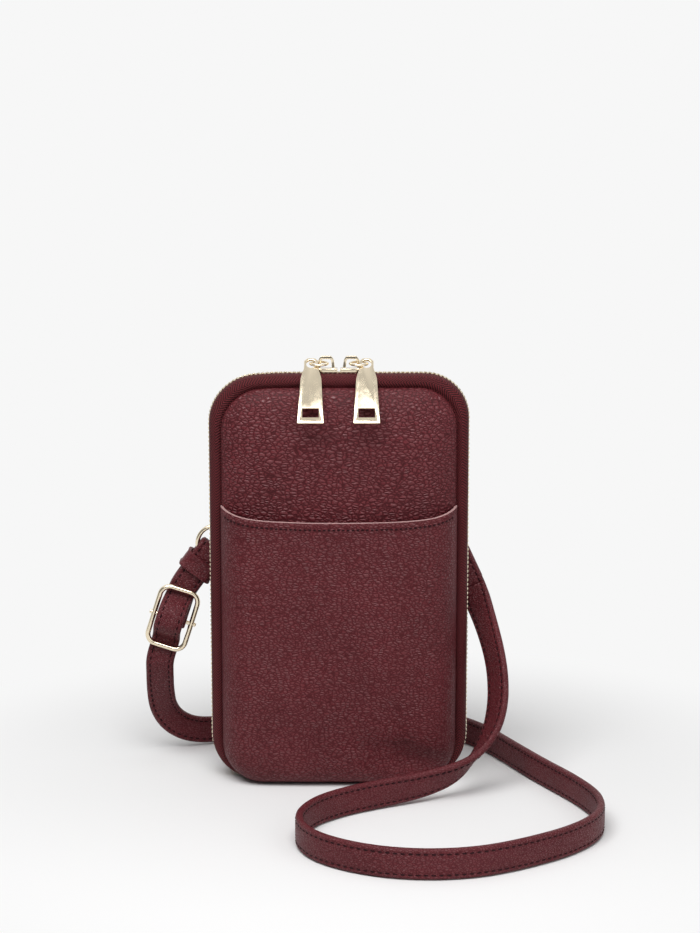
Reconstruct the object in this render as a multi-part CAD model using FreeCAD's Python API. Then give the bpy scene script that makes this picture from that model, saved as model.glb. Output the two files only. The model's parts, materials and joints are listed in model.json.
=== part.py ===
import FreeCAD, Part
import math
import os

# Phone pouch on a shoulder strap. Millimetres, X to the right, Y to the back, Z up.
# The origin is on the surface that the pouch stands on, below the middle of the zip.

# Pouch body
pouch_width = 116.0
pouch_height = 185.0
corner_radius = 20.0
corner_tightening = 0.5
seam_half_depth = 9.0
seam_inset = 6.0
base_seam_rise = 2.5
front_crown = 8.0
back_crown = 5.0
leather_thickness = 1.2
foam_thickness = 2.4
lining_thickness = 0.6

# Crown of a panel from its seam to its middle: share of the crown, and distance in from the seam
crown_steps = ((0.0, 0.0), (0.3, 1.0), (0.65, 4.5), (0.9, 10.0), (1.0, 20.0))

# Slip pocket on the front
pocket_gap = 4.8
pocket_leather = 1.3
pocket_lining_thickness = 0.5
mouth_edge_height = 126.0
mouth_dip = 5.0

# Zip
tape_thickness = 1.0
tape_crest_depth = 7.6
tape_crest_inset = 1.6
tape_edge_inset = 0.4
chain_depth = 1.6
chain_gap = 1.2
chain_height = 2.0
zip_end_x = 38.0
gusset_clearance = 0.3

# Zip sliders
slider_length = 10.0
slider_half_width = 3.4
slider_plate = 1.2
slider_clearance = 0.35
slider_offset = 5.6
flange_width = 0.8
post_length = 3.0
post_thickness = 0.6
bridge_half_span = 3.9
bridge_height = 5.5
bridge_leg = 1.4
bridge_width = 1.6
bridge_round = 1.8

# Pull links and pull plates
link_radius = 3.9
link_wire = 1.1
link_clearance = 0.5
link_tilt = 5.0
link_rise = 2.5
eye_turn = 30.0
pull_drop = 46.0
pull_length = 35.0
pull_thickness = 1.1
pull_neck = 6.2
pull_chamfer = 1.4
pull_shoulder = 9.1
pull_foot = 11.5
pull_shoulder_at = 8.0
pull_top = 3.0
eye_diameter = 4.4
window_width = 7.2
window_height = 5.0
window_margin = 3.0

# Strap tabs and rings
ring_radius = 8.2
ring_wire = 2.0
left_ring_inset = 1.5
left_ring_level = 104.0
right_ring_inset = 8.5
right_ring_level = 108.0
right_ring_standoff = 3.2
ring_clearance = 0.15
tab_width = 8.0
tab_leather = 1.4
tab_length = 12.0
tab_slope = 5.0
tab_seat = 0.25

# Strap and its adjuster
strap_width = 12.8
strap_thickness = 3.4
strap_clearance = 0.3
fold_rise = 3.1
left_strap_tilt = 37.0
right_strap_tilt = 25.0
right_fold_length = 18.0
right_tail_length = 17.0
doubled_length = 17.0
adjuster_tilt = 18.0
adjuster_drop = 14.0
adjuster_length = 30.0
adjuster_wire = 2.4
adjuster_corner = 4.5
adjuster_side_clearance = 1.2
centre_bar = 1.8
wrap_leather = 2.0
bar_overhang = 1.0
window_lead = 2.6
strap_below_adjuster = 17.5
keeper_length = 8.0
keeper_leather = 1.4
keeper_drop = 0.5

# Route of the free strap between the right fold and the adjuster, chosen by hand, and where its outer edge points
strap_route = (
    ((64.5, 10.5, 75.5), (0.75, -0.6, 0.25)),
    ((67.6, 3.0, 66.5), (0.62, -0.77, 0.12)),
    ((70.2, -4.5, 57.0), (0.55, -0.83, 0.05)),
    ((71.4, -11.0, 47.5), (0.53, -0.85, 0.0)),
    ((71.0, -17.5, 37.5), (0.5, -0.85, 0.05)),
    ((68.0, -24.0, 27.5), (0.42, -0.85, 0.2)),
    ((61.0, -30.0, 18.0), (0.3, -0.75, 0.5)),
    ((51.5, -35.5, 11.5), (0.12, -0.5, 0.85)),
    ((36.0, -41.5, 8.0), (0.02, -0.2, 0.97)),
    ((18.0, -48.5, 6.7), (0.0, 0.0, 1.0)),
    ((1.0, -59.0, 6.6), (0.0, 0.0, 1.0)),
    ((-12.0, -73.0, 6.6), (0.0, 0.0, 1.0)),
    ((-17.5, -92.0, 6.6), (0.0, 0.0, 1.0)),
    ((-11.5, -110.0, 6.6), (0.0, 0.0, 1.0)),
    ((2.0, -122.5, 6.6), (0.0, 0.0, 1.0)),
    ((19.0, -130.5, 6.6), (0.0, 0.0, 1.0)),
    ((38.0, -133.0, 6.6), (0.0, 0.0, 1.0)),
    ((58.0, -129.5, 6.6), (0.0, 0.0, 1.0)),
    ((78.0, -118.5, 6.6), (0.0, 0.0, 1.0)),
    ((96.5, -104.5, 6.6), (0.0, 0.0, 1.0)),
    ((109.5, -86.5, 6.6), (0.0, 0.0, 1.0)),
    ((111.5, -65.0, 6.6), (0.0, 0.0, 1.0)),
    ((104.0, -43.0, 6.6), (0.0, 0.0, 1.0)),
    ((91.5, -18.5, 6.6), (0.0, 0.0, 1.0)),
    ((79.5, 8.5, 6.6), (0.0, 0.0, 1.0)),
    ((67.5, 36.0, 6.6), (0.0, 0.0, 1.0)),
    ((49.0, 56.0, 6.6), (0.0, 0.0, 1.0)),
    ((20.0, 63.0, 6.6), (0.0, 0.0, 1.0)),
    ((-14.0, 60.0, 6.6), (0.0, 0.0, 1.0)),
    ((-40.0, 53.0, 6.6), (0.0, 0.0, 1.0)),
    ((-57.0, 45.5, 6.8), (0.05, 0.0, 1.0)),
    ((-69.7, 39.5, 8.2), (0.15, 0.0, 0.98)),
    ((-78.3, 33.8, 14.0), (0.5, 0.1, 0.85)),
    ((-82.6, 27.1, 22.9), (0.85, 0.1, 0.4)),
    ((-83.2, 20.7, 33.1), (0.97, 0.0, 0.0)),
    ((-82.8, 15.0, 43.5), (0.96, 0.0, -0.2)),
)
arc_share = 0.45
arc_step = 15.0

X_AXIS = FreeCAD.Vector(1, 0, 0)
Y_AXIS = FreeCAD.Vector(0, 1, 0)
Z_AXIS = FreeCAD.Vector(0, 0, 1)


def vec(x, y, z):
    return FreeCAD.Vector(x, y, z)


def line(a, b):
    return Part.LineSegment(a, b).toShape()


def arc(a, b, c):
    return Part.Arc(a, b, c).toShape()


def block(low, high):
    return Part.makeBox(high[0] - low[0], high[1] - low[1], high[2] - low[2], vec(*low))


def outline(y, inset, base):
    """Rounded rectangle of the pouch at depth y, drawn in by inset, with its lowest edge at height base."""
    half = pouch_width / 2 - inset
    top = pouch_height - inset
    radius = corner_radius - corner_tightening * inset
    bend = radius * (1 - math.sqrt(0.5))
    edges = []
    corners = ((1, base, 1), (1, top, -1), (-1, top, -1), (-1, base, 1))
    starts = []
    for side, z, inward in corners:
        on_level = vec(side * (half - radius), y, z)
        on_side = vec(side * half, y, z + inward * radius)
        middle = vec(side * (half - bend), y, z + inward * bend)
        first, last = (on_level, on_side) if side * inward > 0 else (on_side, on_level)
        starts.append((first, middle, last))
    for index, (first, middle, last) in enumerate(starts):
        edges.append(arc(first, middle, last))
        edges.append(line(last, starts[(index + 1) % 4][0]))
    return Part.Wire(edges)


def lofted(levels):
    return Part.makeLoft([outline(*level) for level in levels], True, True)


def crowned(side, crown, inset, base):
    """Closed crowned body behind (side 1) or in front of (side -1) the seam plane."""
    levels = []
    for share, inward in crown_steps:
        levels.append((side * (seam_half_depth + share * crown), inset + inward, base + inward))
    return lofted(levels)


def panel_layer(side, crown, outer, inner):
    """Layer of a crowned panel between two depths below its face."""
    body = crowned(side, crown - outer, seam_inset + outer, base_seam_rise + outer)
    return body.cut(crowned(side, crown - inner, seam_inset + inner, base_seam_rise + inner))


def turned_section(points, axis_x, axis_y, origin):
    """World points of a flat section given as pairs along two axes."""
    return [origin + axis_x * u + axis_y * v for u, v in points]


def polygon_face(points):
    return Part.Face(Part.makePolygon(points + [points[0]]))


def ribbon_profile(path, thickness):
    """Closed outline of a strip of even thickness along a flat polyline, with mitred corners."""
    left = []
    right = []
    for index, (u, v) in enumerate(path):
        before = path[max(index - 1, 0)]
        after = path[min(index + 1, len(path) - 1)]
        normals = []
        for a, b in ((before, (u, v)), ((u, v), after)):
            run = math.hypot(b[0] - a[0], b[1] - a[1])
            if run > 0:
                normals.append(((a[1] - b[1]) / run, (b[0] - a[0]) / run))
        mean_u = sum(n[0] for n in normals) / len(normals)
        mean_v = sum(n[1] for n in normals) / len(normals)
        stretch = thickness / 2 / (mean_u ** 2 + mean_v ** 2)
        left.append((u + mean_u * stretch, v + mean_v * stretch))
        right.append((u - mean_u * stretch, v - mean_v * stretch))
    return left + right[::-1]


# Depths of the panel layers below the leather face
foam_depth = leather_thickness
lining_depth = foam_depth + foam_thickness
panel_depth = lining_depth + lining_thickness


def front_panel():
    return panel_layer(-1, front_crown, 0, foam_depth)


def front_foam():
    return panel_layer(-1, front_crown, foam_depth, lining_depth)


def front_lining():
    return panel_layer(-1, front_crown, lining_depth, panel_depth)


def back_panel():
    return panel_layer(1, back_crown, 0, foam_depth)


def back_foam():
    return panel_layer(1, back_crown, foam_depth, lining_depth)


def back_lining():
    return panel_layer(1, back_crown, lining_depth, panel_depth)


# Crowns of the slip pocket's lining and leather, outwards from the front panel
pocket_space_crown = front_crown + pocket_gap
pocket_inner_crown = pocket_space_crown + pocket_lining_thickness
pocket_outer_crown = pocket_inner_crown + pocket_leather


def above_mouth():
    """Body that takes away everything above the curved mouth of the slip pocket."""
    half = pouch_width / 2
    front = -(seam_half_depth + pocket_outer_crown + pocket_leather)
    edge = mouth_edge_height
    left = vec(-half, front, edge)
    right = vec(half, front, edge)
    top_left = vec(-half, front, pouch_height + corner_radius)
    top_right = vec(half, front, pouch_height + corner_radius)
    mouth = arc(left, vec(0, front, edge - mouth_dip), right)
    wire = Part.Wire([mouth, line(right, top_right), line(top_right, top_left), line(top_left, left)])
    return Part.Face(wire).extrude(vec(0, -front, 0))


def front_pocket():
    outer_inset = seam_inset - pocket_leather
    outer = crowned(-1, pocket_outer_crown, outer_inset, base_seam_rise - pocket_leather)
    inner = crowned(-1, pocket_inner_crown, seam_inset, base_seam_rise)
    return outer.cut(inner).cut(above_mouth())


def pocket_lining():
    inset = seam_inset + pocket_lining_thickness
    outer = crowned(-1, pocket_inner_crown, seam_inset, base_seam_rise)
    inner = crowned(-1, pocket_space_crown, inset, base_seam_rise + pocket_lining_thickness)
    panel = crowned(-1, front_crown, seam_inset, base_seam_rise)
    return outer.cut(inner).cut(panel).cut(above_mouth())


chain_inner_face = chain_gap / 2
chain_outer_face = chain_inner_face + chain_depth


def without_base(shape):
    """Open a band at the bottom, where the gusset takes its place."""
    reach = seam_half_depth + tape_thickness
    low = (-zip_end_x, -reach, -corner_radius)
    high = (zip_end_x, reach, corner_radius / 2)
    return shape.cut(block(low, high))


def zip_tape(side):
    def band(extra):
        return lofted((
            (side * seam_half_depth, seam_inset + extra, base_seam_rise + extra),
            (side * tape_crest_depth, tape_crest_inset + extra, extra),
            (side * chain_outer_face, tape_edge_inset + extra, extra),
        ))
    return without_base(band(0).cut(band(tape_thickness)))


def zip_chain(side):
    ends = (side * chain_inner_face, side * chain_outer_face)
    outer = lofted([(y, 0, 0) for y in ends])
    inner = lofted([(y, chain_height, chain_height) for y in ends])
    return without_base(outer.cut(inner))


def bottom_gusset():
    half = zip_end_x - gusset_clearance
    front = -seam_half_depth + gusset_clearance
    crest = tape_crest_depth
    rise = base_seam_rise
    lower = [(front, rise), (-crest, 0), (crest, 0), (seam_half_depth, rise)]
    upper = [(y, z + leather_thickness) for y, z in reversed(lower)]
    points = turned_section(lower + upper, Y_AXIS, Z_AXIS, vec(-half, 0, 0))
    return polygon_face(points).extrude(vec(2 * half, 0, 0))


# Heights of the slider's plates over and under the zip chain
slider_floor = pouch_height + slider_clearance
slider_top = slider_floor + slider_plate
flange_foot = pouch_height - tape_edge_inset + slider_clearance
lower_plate_top = pouch_height - chain_height - slider_clearance


def bridge(middle):
    """Arch along the zip on top of a slider."""
    def arched(half, height, radius):
        bend = radius * (1 - math.sqrt(0.5))
        y = -bridge_width / 2
        low = slider_top
        high = slider_top + height
        points = {}
        for side in (-1, 1):
            x = middle + side * half
            points[side] = (
                vec(x, y, low),
                vec(x, y, high - radius),
                vec(x - side * bend, y, high - bend),
                vec(x - side * radius, y, high),
            )
        first = points[-1]
        last = points[1]
        wire = Part.Wire([
            line(first[0], first[1]),
            arc(first[1], first[2], first[3]),
            line(first[3], last[3]),
            arc(last[3], last[2], last[1]),
            line(last[1], last[0]),
            line(last[0], first[0]),
        ])
        return Part.Face(wire).extrude(vec(0, bridge_width, 0))
    outer = arched(bridge_half_span, bridge_height, bridge_round)
    inner = arched(bridge_half_span - bridge_leg, bridge_height - bridge_leg, bridge_round / 2)
    return outer.cut(inner)


def slider(side):
    middle = side * slider_offset
    low_x = middle - slider_length / 2
    high_x = middle + slider_length / 2
    half = slider_half_width
    post_half = post_thickness / 2
    top_plate = block((low_x, -half, slider_floor), (high_x, half, slider_top))
    flange = block((low_x, -half, flange_foot),
                   (high_x, -half + flange_width, slider_floor))
    nose_x = middle - side * (slider_length / 2 - post_length / 2)
    post = block((nose_x - post_length / 2, -post_half, lower_plate_top),
                 (nose_x + post_length / 2, post_half, slider_floor))
    lower_plate = block((low_x, -half, lower_plate_top - slider_plate),
                        (high_x, post_half, lower_plate_top))
    return top_plate.fuse([flange, post, lower_plate, bridge(middle)]).removeSplitter()


# Where the link hangs on the outer leg of the bridge, and where the pull's eye hangs on the link
link_height = slider_top + link_rise
link_reach = link_radius - bridge_width / 2 - link_wire / 2 - link_clearance
link_forward = vec(0, -math.cos(math.radians(link_tilt)), -math.sin(math.radians(link_tilt)))
leg_x = slider_offset + bridge_half_span - bridge_leg / 2
eye_out = link_radius * math.cos(math.radians(eye_turn))
eye_forward = link_reach + link_radius * math.sin(math.radians(eye_turn))


def link_pivot(side):
    return vec(side * leg_x, 0, link_height)


def eye_centre(side):
    return link_pivot(side) + X_AXIS * (side * eye_out) + link_forward * eye_forward


def pull_link(side):
    centre = link_pivot(side) + link_forward * link_reach
    return Part.makeTorus(link_radius, link_wire / 2, centre, X_AXIS.cross(link_forward))


def pull_plate(side):
    drop = math.radians(pull_drop)
    down = vec(0, -math.cos(drop), -math.sin(drop))
    outward = down.cross(X_AXIS)
    back = eye_centre(side) - outward * (pull_thickness / 2)
    half_points = [
        (pull_neck / 2 - pull_chamfer, -pull_top),
        (pull_neck / 2, -pull_top + pull_chamfer),
        (pull_neck / 2, eye_diameter / 2),
        (pull_shoulder / 2, pull_shoulder_at),
        (pull_foot / 2, pull_length - pull_top),
    ]
    mirrored = [(-u, v) for u, v in reversed(half_points)]
    plate = polygon_face(turned_section(half_points + mirrored, X_AXIS, down, back))
    plate = plate.extrude(outward * pull_thickness)
    foot = pull_length - pull_top - window_margin
    half = window_width / 2
    corners = [(-half, foot - window_height), (half, foot - window_height), (half, foot), (-half, foot)]
    below = back - outward * pull_thickness
    through = 3 * pull_thickness
    window = polygon_face(turned_section(corners, X_AXIS, down, below)).extrude(outward * through)
    eye = Part.makeCylinder(eye_diameter / 2, through, below, outward)
    return plate.cut(window).cut(eye)


def crown_share(inward):
    """Share of a panel's crown at a distance in from its seam."""
    for (low_share, low), (high_share, high) in zip(crown_steps, crown_steps[1:]):
        if inward <= high:
            return low_share + (high_share - low_share) * (inward - low) / (high - low)
    return crown_steps[-1][0]


left_ring_x = pouch_width / 2 - left_ring_inset
right_ring_x = pouch_width / 2 - right_ring_inset


def tab_inward(ring_x, tilt):
    """How far in from the seam a tab's inner end comes."""
    run = math.radians(tilt)
    reach = (ring_radius + tab_length) * math.sin(run) + tab_width / 2 * math.cos(run)
    return pouch_width / 2 - seam_inset - (ring_x - reach)


# Middle plane of the sewn tabs, which lie on the back panel at their inner ends
deepest_tab = max(tab_inward(left_ring_x, left_strap_tilt), tab_inward(right_ring_x, right_strap_tilt))
tab_plane = seam_half_depth + back_crown * crown_share(deepest_tab) + tab_seat + tab_leather
layer_offset = ring_wire / 2 + ring_clearance + strap_thickness / 2


def wire_frame(centre, across, along, half_width, half_height, wire, bend):
    """Rounded rectangle bent from round wire."""
    radius = wire / 2
    pieces = []
    for side in (-1, 1):
        for a, b in (((side * half_width, bend - half_height), (side * half_width, half_height - bend)),
                     ((bend - half_width, side * half_height), (half_width - bend, side * half_height))):
            start, end = turned_section([a, b], across, along, centre)
            pieces.append(Part.makeCylinder(radius, (end - start).Length, start, end - start))
        for rise in (-1, 1):
            place = [(side * (half_width - bend), rise * (half_height - bend))]
            corner = turned_section(place, across, along, centre)[0]
            span = bend + wire
            quarter = [(0, 0), (side * span, 0), (side * span, rise * span), (0, rise * span)]
            points = turned_section(quarter, across, along, corner - Y_AXIS * span)
            keep = polygon_face(points).extrude(Y_AXIS * (2 * span))
            pieces.append(Part.makeTorus(bend, radius, corner, Y_AXIS).common(keep))
    return pieces[0].fuse(pieces[1:]).removeSplitter()


class StripFrame:
    """Frame of a stretch of strap in an upright plane: along it (s, upwards), across it, and y to the back."""

    def __init__(self, x, plane, z, side, tilt_degrees):
        tilt = math.radians(tilt_degrees)
        self.along = vec(-side * math.sin(tilt), 0, math.cos(tilt))
        self.across = self.along.cross(Y_AXIS)
        self.origin = vec(x, 0, z)
        self.plane = plane
        self.front = plane - layer_offset
        self.rear = plane + layer_offset

    def place(self, s, y):
        return self.origin + self.along * s + Y_AXIS * y

    def strip(self, path, thickness=strap_thickness, width=strap_width):
        base = self.origin - self.across * (width / 2)
        points = turned_section(ribbon_profile(path, thickness), self.along, Y_AXIS, base)
        return polygon_face(points).extrude(self.across * width)

    def tube(self, s, y, radius, length):
        return Part.makeCylinder(radius, length, self.place(s, y) - self.across * (length / 2), self.across)


left_end = StripFrame(-left_ring_x, tab_plane, left_ring_level, -1, left_strap_tilt)
right_end = StripFrame(right_ring_x, tab_plane + right_ring_standoff, right_ring_level, 1, right_strap_tilt)


def ring_torus(end, wire):
    return Part.makeTorus(ring_radius, wire / 2, end.place(0, end.plane), Y_AXIS)


def ring_room(end):
    """Ring with the free space round its wire."""
    return ring_torus(end, ring_wire + 2 * ring_clearance)


def strap_tab(end):
    """Leather tab folded round the far side of a ring, with both layers sewn to the back panel."""
    lay = [(ring_radius, end.plane), (ring_radius + tab_slope, tab_plane), (ring_radius + tab_length, tab_plane)]
    sewn = end.strip(lay, 2 * tab_leather, tab_width)
    roll = end.tube(ring_radius, end.plane, ring_wire / 2 + ring_clearance + tab_leather, tab_width)
    return sewn.fuse(roll).cut(ring_room(end)).removeSplitter()


# The strap bears on the ring with its two edges, so its fold is a little above the ring's near side
strap_bearing = -ring_radius
fold_centre = strap_bearing + fold_rise


def fold(end):
    """Half turn of the strap over a ring."""
    outer = end.tube(fold_centre, end.plane, layer_offset + strap_thickness / 2, strap_width)
    inner = end.tube(fold_centre, end.plane, layer_offset - strap_thickness / 2, 2 * strap_width)
    reach = 2 * layer_offset + strap_thickness
    upper = end.strip([(fold_centre, end.plane), (fold_centre + reach, end.plane)], 2 * reach, 2 * strap_width)
    return outer.cut(inner).common(upper)


def strap_end_fold():
    """Sewn end of the strap: the front layer goes on as the free strap, the rear layer is its tail."""
    front = right_end.strip([(fold_centre, right_end.front), (strap_bearing - right_fold_length, right_end.front)])
    tail = right_end.strip([(fold_centre, right_end.rear), (strap_bearing - right_tail_length, right_end.rear)])
    return front.fuse([tail, fold(right_end)]).cut(ring_room(right_end)).removeSplitter()


# The adjuster hangs on the doubled strap, turned a little, with its bars just in front of the strap
doubled_foot = strap_bearing - doubled_length
kink = left_end.place(doubled_foot, 0)
adjuster_end = StripFrame(kink.x, tab_plane, kink.z, -1, adjuster_tilt)
adjuster_plane = left_end.front - strap_thickness / 2 - strap_clearance - adjuster_wire / 2
adjuster_half_width = strap_width / 2 + adjuster_side_clearance + adjuster_wire / 2
bar_spacing = (adjuster_length - adjuster_wire) / 2
top_bar = -adjuster_drop + bar_spacing
foot_bar = -adjuster_drop - bar_spacing
wrap_radius = centre_bar / 2 + ring_clearance + wrap_leather
strap_over_bar = adjuster_plane - wrap_radius - strap_clearance - strap_thickness / 2


def strap_adjuster_end():
    """Doubled end of the strap: over the ring, round the centre bar, and over that wrap as the free strap."""
    lap = strap_width / 2 * math.tan(math.radians(left_strap_tilt - adjuster_tilt))
    doubled = [left_end.strip([(fold_centre, y), (doubled_foot, y)]) for y in (left_end.front, left_end.rear)]
    front = adjuster_end.strip([
        (lap, left_end.front),
        (top_bar - window_lead, left_end.front),
        (-adjuster_drop + wrap_radius, strap_over_bar),
        (-adjuster_drop - wrap_radius, strap_over_bar),
        (foot_bar + window_lead, left_end.front),
        (-adjuster_drop - strap_below_adjuster, left_end.front),
    ])
    rear = adjuster_end.strip([
        (lap, left_end.rear),
        (top_bar - window_lead, left_end.rear),
        (-adjuster_drop, adjuster_plane + wrap_radius - wrap_leather / 2),
    ])
    wrap = adjuster_end.tube(-adjuster_drop, adjuster_plane, wrap_radius, strap_width)
    bore = adjuster_end.tube(-adjuster_drop, adjuster_plane, centre_bar / 2 + ring_clearance, 2 * strap_width)
    end = front.fuse([rear, wrap, fold(left_end)] + doubled).removeSplitter()
    return end.cut(ring_room(left_end)).cut(bore)


def adjuster_bar():
    length = 2 * (adjuster_half_width + adjuster_wire / 2 + bar_overhang)
    return adjuster_end.tube(-adjuster_drop, adjuster_plane, centre_bar / 2, length)


def adjuster_frame():
    """Frame of the adjuster, with a hole on each side for the centre bar."""
    centre = adjuster_end.place(-adjuster_drop, adjuster_plane)
    frame = wire_frame(centre, adjuster_end.across, adjuster_end.along, adjuster_half_width, bar_spacing,
                       adjuster_wire, adjuster_corner)
    return frame.cut(adjuster_bar())


def strap_keeper():
    """Leather loop round both layers of the doubled strap."""
    room = left_end.rear - left_end.front + strap_thickness + 2 * strap_clearance
    wide = strap_width + 2 * strap_clearance
    high = strap_bearing - keeper_drop
    stretch = [(high - keeper_length, left_end.plane), (high, left_end.plane)]
    longer = [(high - 2 * keeper_length, left_end.plane), (high + keeper_length, left_end.plane)]
    outer = left_end.strip(stretch, room + 2 * keeper_leather, wide + 2 * keeper_leather)
    return outer.cut(left_end.strip(longer, room, wide))


def route_stations():
    """Stations along the strap: straight runs joined by tangent arcs, with the edge direction blended along."""
    start = right_end.place(strap_bearing - right_fold_length, right_end.front)
    finish = adjuster_end.place(-adjuster_drop - strap_below_adjuster, adjuster_end.front)
    points = [start] + [vec(*point) for point, edge in strap_route] + [finish]
    edges = [right_end.across * -1] + [vec(*edge) for point, edge in strap_route] + [adjuster_end.across * -1]
    stations = [(start, right_end.along * -1, edges[0])]
    radii = []
    for index in range(1, len(points) - 1):
        back = points[index - 1] - points[index]
        ahead = points[index + 1] - points[index]
        shorter = min(back.Length, ahead.Length)
        back.normalize()
        ahead.normalize()
        turn = math.pi - back.getAngle(ahead)
        radius = arc_share * shorter / math.tan(turn / 2)
        radii.append(round(radius, 1))
        centre = points[index] + (back + ahead).normalize() * (radius / math.cos(turn / 2))
        spoke = points[index] + back * (arc_share * shorter) - centre
        axis = spoke.cross(points[index] + ahead * (arc_share * shorter) - centre).normalize()
        steps = max(2, math.ceil(math.degrees(turn) / arc_step))
        for step in range(steps + 1):
            spin = FreeCAD.Rotation(axis, math.degrees(turn) * step / steps)
            share = step / steps - 0.5
            other = edges[index + 1] if share > 0 else edges[index - 1]
            edge = edges[index] + (other - edges[index]) * (abs(share) * 2 * arc_share)
            stations.append((centre + spin.multVec(spoke), spin.multVec(back * -1), edge))
    stations.append((finish, adjuster_end.along, edges[-1]))
    return stations, radii


def shoulder_strap():
    stations, radii = route_stations()
    wires = []
    length = 0
    for index, (place, way, edge) in enumerate(stations):
        across = (edge - way * edge.dot(way)).normalize()
        through = way.cross(across)
        half_u = strap_width / 2
        half_v = strap_thickness / 2
        corners = [(-half_u, -half_v), (half_u, -half_v), (half_u, half_v), (-half_u, half_v)]
        points = turned_section(corners, across, through, place)
        wires.append(Part.makePolygon(points + [points[0]]))
        if index:
            length += (place - stations[index - 1][0]).Length
    strap = Part.makeLoft(wires, True, True)
    print("strap arc radii", radii)
    print("strap length", round(length, 1), "volume", round(strap.Volume),
          "section times length", round(strap_width * strap_thickness * length))
    return strap


def build():
    shapes = {
        "back_panel": back_panel(),
        "back_foam": back_foam(),
        "back_lining": back_lining(),
        "front_panel": front_panel(),
        "front_foam": front_foam(),
        "front_lining": front_lining(),
        "front_pocket": front_pocket(),
        "front_pocket_lining": pocket_lining(),
        "bottom_gusset": bottom_gusset(),
        "shoulder_strap": shoulder_strap(),
        "strap_end_fold": strap_end_fold(),
        "strap_adjuster_end": strap_adjuster_end(),
        "adjuster_frame": adjuster_frame(),
        "adjuster_bar": adjuster_bar(),
        "strap_keeper": strap_keeper(),
    }
    for name, side in (("front", -1), ("back", 1)):
        shapes[name + "_zip_tape"] = zip_tape(side)
        shapes[name + "_zip_chain"] = zip_chain(side)
    for name, side in (("left", -1), ("right", 1)):
        shapes[name + "_slider"] = slider(side)
        shapes[name + "_pull_link"] = pull_link(side)
        shapes[name + "_pull"] = pull_plate(side)
        end = left_end if side < 0 else right_end
        shapes[name + "_strap_tab"] = strap_tab(end)
        shapes[name + "_strap_ring"] = ring_torus(end, ring_wire)
    return shapes


os.makedirs("parts", exist_ok=True)
for node, shape in build().items():
    shape.exportStep("parts/" + node + ".step")
    print(node, "solids", len(shape.Solids), "volume", round(shape.Volume, 1), "valid", shape.isValid())
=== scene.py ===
import json
import math
import bmesh
import bpy
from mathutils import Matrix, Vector, noise

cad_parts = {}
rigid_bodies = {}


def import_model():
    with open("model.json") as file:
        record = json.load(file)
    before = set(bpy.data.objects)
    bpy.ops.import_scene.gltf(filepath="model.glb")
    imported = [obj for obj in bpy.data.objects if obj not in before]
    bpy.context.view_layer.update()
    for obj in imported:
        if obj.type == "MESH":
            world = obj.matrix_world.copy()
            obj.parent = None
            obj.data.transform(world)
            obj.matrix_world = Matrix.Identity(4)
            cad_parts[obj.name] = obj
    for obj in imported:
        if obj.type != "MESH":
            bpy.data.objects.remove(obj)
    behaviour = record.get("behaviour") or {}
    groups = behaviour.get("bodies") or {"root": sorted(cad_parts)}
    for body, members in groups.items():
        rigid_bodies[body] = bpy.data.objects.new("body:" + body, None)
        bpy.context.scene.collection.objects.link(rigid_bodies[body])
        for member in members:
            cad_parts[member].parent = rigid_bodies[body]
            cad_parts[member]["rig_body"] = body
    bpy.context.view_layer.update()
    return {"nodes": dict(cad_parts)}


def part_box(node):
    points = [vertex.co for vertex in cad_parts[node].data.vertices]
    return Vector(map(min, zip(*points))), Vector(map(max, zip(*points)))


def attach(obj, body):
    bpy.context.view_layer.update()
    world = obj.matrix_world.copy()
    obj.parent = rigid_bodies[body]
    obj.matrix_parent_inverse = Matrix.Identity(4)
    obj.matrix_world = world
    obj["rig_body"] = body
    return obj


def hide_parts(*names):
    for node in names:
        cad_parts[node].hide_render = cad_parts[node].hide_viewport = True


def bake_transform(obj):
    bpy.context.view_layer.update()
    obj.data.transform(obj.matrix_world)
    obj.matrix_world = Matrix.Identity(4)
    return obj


# Phone pouch on a shoulder strap, in metres: X to the right, Y to the back, Z up
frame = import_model()
mm = 0.001
up = Vector((0, 0, 1))
rearward = Vector((0, 1, 0))
rightward = Vector((1, 0, 0))

# Pouch body
half_width = 58.0 * mm
pouch_height = 185.0 * mm
corner_radius = 20.0 * mm
corner_tightening = 0.5
seam_depth = 9.0 * mm
seam_inset = 6.0 * mm
seam_rise = 2.5 * mm
front_crown = 8.0 * mm
back_crown = 5.0 * mm
panel_depth = 4.2 * mm
panel_reach = 32.0 * mm
corner_droop = 2.2 * mm
softness = 0.3 * mm
softness_size = 24.0 * mm
flat_steps = 12
side_steps = 48
corner_steps = 14
fill_step = 3.0 * mm
smallest_corner = 0.4 * mm
crown_flatness = 3
crown_steepness = 0.6
ring_shares = (0.0, 0.015, 0.04, 0.08, 0.13, 0.2, 0.28, 0.38, 0.5, 0.64, 0.8, 1.0)
droop_across = (-24 * mm, -60 * mm)
droop_up = (110 * mm, 178 * mm)
gusset_steps = 10

# Slip pocket
pocket_crown = 14.2 * mm
pocket_reach = 20.0 * mm
pocket_edge = 5.5 * mm
pocket_foot = 0.5 * mm
pocket_leather = 1.3 * mm
pocket_lining_drop = 26.0 * mm
pocket_hang = 1.6
pocket_softness = 1.6
pocket_seed = 5.0
mouth_middle = 121.0 * mm
mouth_lift = 5.3 * mm
mouth_bow = 0.38
mouth_stitch_drop = 2.9 * mm
mouth_stitch_end = 2.0 * mm
mouth_stitch_steps = 160
raw_edge = 0.3 * mm
lip_turns = ((0.15, 0.75), (0.5, 1.0), (0.85, 0.75), (1.0, 0.0))
fold_middle = (34.0 * mm, 12.5 * mm)
fold_slope = -0.25
fold_reach = 17.0 * mm
fold_above = 6.0 * mm
fold_below = 9.0 * mm
fold_depth = 5.5 * mm

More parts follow.
